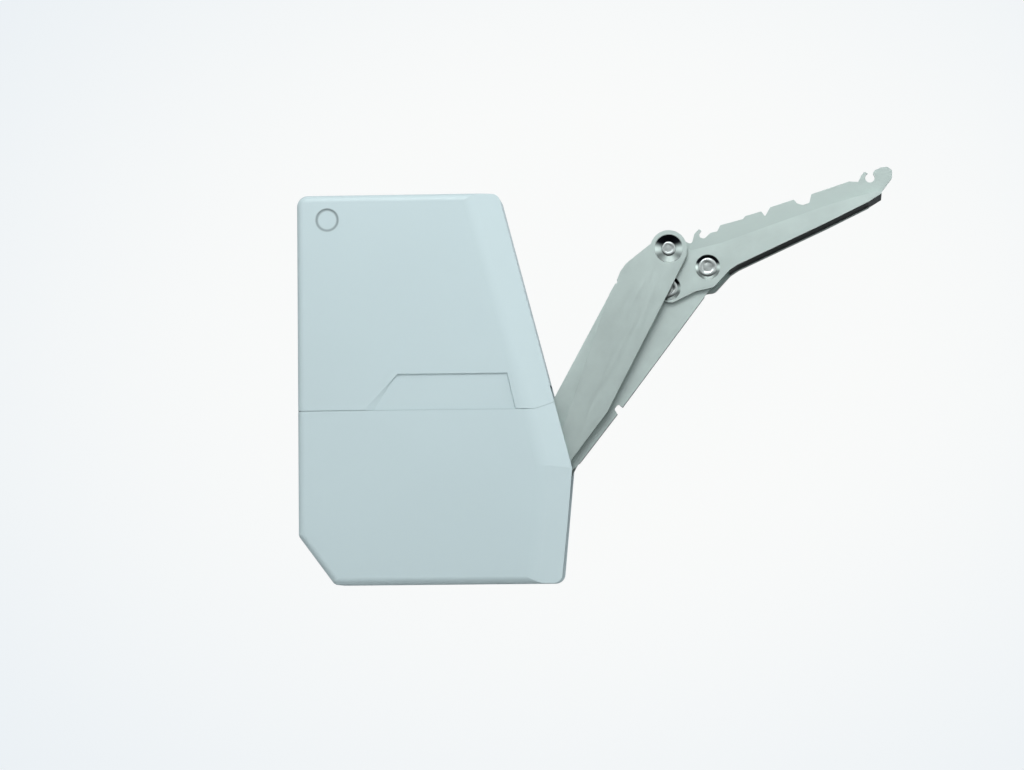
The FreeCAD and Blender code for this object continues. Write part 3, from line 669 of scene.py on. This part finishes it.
class FLAPSTAY_OT_wind_springs(bpy.types.Operator):
    """Wind the two compression springs, each in a lower part by the carriage and an upper part by
    the seat"""
    bl_idname = "flapstay.wind_springs"
    bl_label = "Wind springs"

    def execute(self, context):
        props = context.scene.flapstay_spring
        axis = np.array(JOINTS["carriage_slide"]["axis"])
        side = np.array([axis[2], 0.0, -axis[0]])
        rods = node_points("spring_guide_rods")
        middle = (rods.max(axis=0) + rods.min(axis=0)) / 2
        along = middle @ axis
        bottom = node_points("spring_carriage") @ axis
        top = node_points("spring_seat") @ axis
        start_s = bottom.max()
        length = top.min() - start_s
        offset = (rods @ side).max() - 4.0 * MM - middle @ side
        steel = turned_metal("spring_steel", (0.30, 0.30, 0.31), 0.3)
        total = props.turns + 1.5
        cut = coil_height(CARRIAGE_SHARE * total, length, props.wire, total)
        pressed = (("lower", (0, CARRIAGE_SHARE), "carriage_slide", cut),
                   ("upper", (CARRIAGE_SHARE, 1), "seat_slide", length - cut))
        for index, hand in enumerate((-1, 1)):
            start = middle + axis * (start_s - along) + side * hand * offset
            for part, share, joint, reach in pressed:
                name = "spring_%d_%s" % (index, part)
                mesh = wound_mesh(name, start, axis, length, 8.2 * MM, props.wire, total, share)
                piece = place_piece(name, mesh, "housing", steel)
                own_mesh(piece)
                if name == "spring_0_lower":
                    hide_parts("compression_springs")
        return {"FINISHED"}


def node_points(name):
    """Vertices of a node at rest, shape (n, 3)."""
    mesh = frame["nodes"][name].data
    flat = np.empty(len(mesh.vertices) * 3)
    mesh.vertices.foreach_get("co", flat)
    return flat.reshape(-1, 3)


class FLAPSTAY_OT_set_stage(bpy.types.Operator):
    """Set up floor, backdrop, lamps, world and camera"""
    bl_idname = "flapstay.set_stage"
    bl_label = "Set stage"

    def execute(self, context):
        props = context.scene.flapstay_stage
        self.sweep(tuple(props.white), tuple(props.edge_white))
        self.dark_card()
        self.lamps()
        self.world(context.scene)
        self.camera(context.scene, props)
        return {"FINISHED"}

    def sweep(self, centre_white, edge_white):
        """Floor that curves up into a backdrop: a line, a quarter circle and a line, carried
        straight across."""
        floor_z, back_y, bend = -0.45, 3.2, 1.2
        t = np.linspace(0, np.pi / 2, 24)
        y = np.concatenate([[-8.0], back_y - bend + bend * np.sin(t), [back_y]])
        z = np.concatenate([[floor_z], floor_z + bend - bend * np.cos(t), [4.0]])
        x = np.array([-8.0, 8.0])
        points = np.stack(np.broadcast_arrays(x[None, :], y[:, None], z[:, None]), axis=-1)
        mesh = grid_mesh("studio_sweep", points, False, False)
        sweep = bpy.data.objects.new("studio_sweep", mesh)
        bpy.context.scene.collection.objects.link(sweep)
        mesh.materials.append(self.white_paper(centre_white, edge_white))

    def white_paper(self, centre_white, edge_white):
        """Matt paper that looks white to the camera and in gloss, with painted light that falls
        off a little greyer outwards.
        """
        material = bpy.data.materials.new("studio_white")
        material.use_nodes = True
        tree = material.node_tree
        tree.nodes.clear()
        out = tree.nodes.new("ShaderNodeOutputMaterial")
        matt = tree.nodes.new("ShaderNodeBsdfDiffuse")
        matt.inputs["Color"].default_value = (0.75, 0.76, 0.76, 1)
        coord = tree.nodes.new("ShaderNodeTexCoord")
        mapping = tree.nodes.new("ShaderNodeMapping")
        mapping.inputs["Location"].default_value = (0.027, 0, -0.249)
        mapping.inputs["Scale"].default_value = (0.669, 0, 0.872)
        tree.links.new(coord.outputs["Object"], mapping.inputs["Vector"])
        reach = tree.nodes.new("ShaderNodeVectorMath")
        reach.operation = "LENGTH"
        tree.links.new(mapping.outputs[0], reach.inputs[0])
        fade = tree.nodes.new("ShaderNodeMapRange")
        fade.interpolation_type = "SMOOTHSTEP"
        fade.inputs["From Min"].default_value = 0.22
        fade.inputs["From Max"].default_value = 0.95
        tree.links.new(reach.outputs["Value"], fade.inputs["Value"])
        white = tree.nodes.new("ShaderNodeMix")
        white.data_type = "RGBA"
        white.inputs["A"].default_value = (*centre_white, 1)
        white.inputs["B"].default_value = (*edge_white, 1)
        tree.links.new(fade.outputs[0], white.inputs["Factor"])
        glow = tree.nodes.new("ShaderNodeEmission")
        tree.links.new(white.outputs["Result"], glow.inputs["Color"])
        mix = tree.nodes.new("ShaderNodeMixShader")
        tree.links.new(direct_rays(tree, 0.98), mix.inputs[0])
        tree.links.new(matt.outputs[0], mix.inputs[1])
        tree.links.new(glow.outputs[0], mix.inputs[2])
        tree.links.new(mix.outputs[0], out.inputs[0])
        return material

    def dark_card(self):
        """Black card low in the studio that only gloss shows, for the dark undersides."""
        x, y = np.meshgrid([-2.4, 3.0], [-6.0, 1.9], indexing="ij")
        points = np.stack([x, y, np.full_like(x, -0.44)], axis=-1)
        mesh = grid_mesh("dark_card", points, False, False)
        card = bpy.data.objects.new("dark_card", mesh)
        bpy.context.scene.collection.objects.link(card)
        material, _, shader, _ = new_finish("card_black")
        shader.inputs["Base Color"].default_value = (0.01, 0.01, 0.01, 1)
        mesh.materials.append(material)
        card.visible_camera = False
        card.visible_diffuse = False
        card.visible_shadow = False
        card.visible_transmission = False

    def lamps(self):
        """Large soft lamps: one above and in front, one to the right, a weak one to the left."""
        rigs = (("key", (0.06, -0.66, 0.72), 7.2, 0.5), ("side", (1.3, -0.6, 0.12), 9.5, 1.5),
                ("fill", (-1.1, -0.9, 0.15), 4.5, 1.4))
        for name, place, power, size in rigs:
            data = bpy.data.lights.new(name, "AREA")
            data.energy = power
            data.shape = "SQUARE"
            data.size = size
            lamp = bpy.data.objects.new(name, data)
            bpy.context.scene.collection.objects.link(lamp)
            lamp.location = place
            aim = Vector((0.05, 0, 0)) - Vector(place)
            lamp.rotation_euler = aim.to_track_quat("-Z", "Y").to_euler()

    def world(self, scene):
        """Sky that rises from dark below to pale above."""
        world = bpy.data.worlds.new("studio")
        world.use_nodes = True
        tree = world.node_tree
        sky = tree.nodes["Background"]
        sky.inputs["Color"].default_value = (0.95, 0.98, 1.0, 1)
        coord = tree.nodes.new("ShaderNodeTexCoord")
        part = tree.nodes.new("ShaderNodeSeparateXYZ")
        tree.links.new(coord.outputs["Generated"], part.inputs[0])
        rise = tree.nodes.new("ShaderNodeMapRange")
        rise.inputs["From Min"].default_value = -0.4
        rise.inputs["From Max"].default_value = 0.15
        rise.inputs["To Min"].default_value = 0.1
        rise.inputs["To Max"].default_value = 0.42
        tree.links.new(part.outputs["Z"], rise.inputs["Value"])
        tree.links.new(rise.outputs[0], sky.inputs["Strength"])
        scene.world = world
        scene.view_settings.view_transform = "Standard"

    def camera(self, scene, props):
        """Camera at the distance from the aim, turned, tilted and rolled as asked."""
        data = bpy.data.cameras.new("camera")
        data.lens = props.lens
        data.sensor_width = 36.0
        camera = bpy.data.objects.new("camera", data)
        scene.collection.objects.link(camera)
        aim = Vector(props.aim)
        level = math.cos(props.elevation)
        back = Vector((math.sin(props.azimuth) * level, -math.cos(props.azimuth) * level,
                       math.sin(props.elevation)))
        place = aim + back * props.distance
        look = (-back).to_track_quat("-Z", "Y").to_matrix()
        turned = look @ Matrix.Rotation(-props.roll, 3, "Z")
        camera.matrix_world = Matrix.Translation(place) @ turned.to_4x4()
        scene.camera = camera


class FLAPSTAY_PT_panel(bpy.types.Panel):
    bl_label = "Flap stay"
    bl_idname = "FLAPSTAY_PT_panel"
    bl_space_type = "VIEW_3D"
    bl_region_type = "UI"
    bl_category = "Flap stay"

    def draw(self, context):
        for holder in PROPS:
            group = getattr(context.scene, holder)
            for key in group.bl_rna.properties.keys():
                if key not in ("rna_type", "name"):
                    self.layout.prop(group, key)
        for operator in OPERATORS:
            self.layout.operator(operator.bl_idname)


PROPS = {"flapstay_cover": CoverFinishProps, "flapstay_lever": LeverFinishProps,
         "flapstay_rivet": RivetProps, "flapstay_spring": SpringProps,
         "flapstay_stage": StageProps}
OPERATORS = (FLAPSTAY_OT_dress_cover, FLAPSTAY_OT_fill_seam, FLAPSTAY_OT_dress_levers,
             FLAPSTAY_OT_dress_works, FLAPSTAY_OT_turn_rivets, FLAPSTAY_OT_wind_springs,
             FLAPSTAY_OT_set_stage)


# Registration and run
def register():
    for holder, group in PROPS.items():
        bpy.utils.register_class(group)
        setattr(bpy.types.Scene, holder, bpy.props.PointerProperty(type=group))
    for item in OPERATORS + (FLAPSTAY_PT_panel,):
        bpy.utils.register_class(item)


def unregister():
    for item in reversed(OPERATORS + (FLAPSTAY_PT_panel,)):
        bpy.utils.unregister_class(item)
    for holder, group in PROPS.items():
        delattr(bpy.types.Scene, holder)
        bpy.utils.unregister_class(group)


def main():
    """Dresses the part in order."""
    register()
    bpy.ops.flapstay.dress_cover()
    bpy.ops.flapstay.fill_seam()
    bpy.ops.flapstay.dress_levers()
    bpy.ops.flapstay.dress_works()
    bpy.ops.flapstay.turn_rivets()
    bpy.ops.flapstay.wind_springs()
    bpy.ops.flapstay.set_stage()


if __name__ == "__main__":
    main()
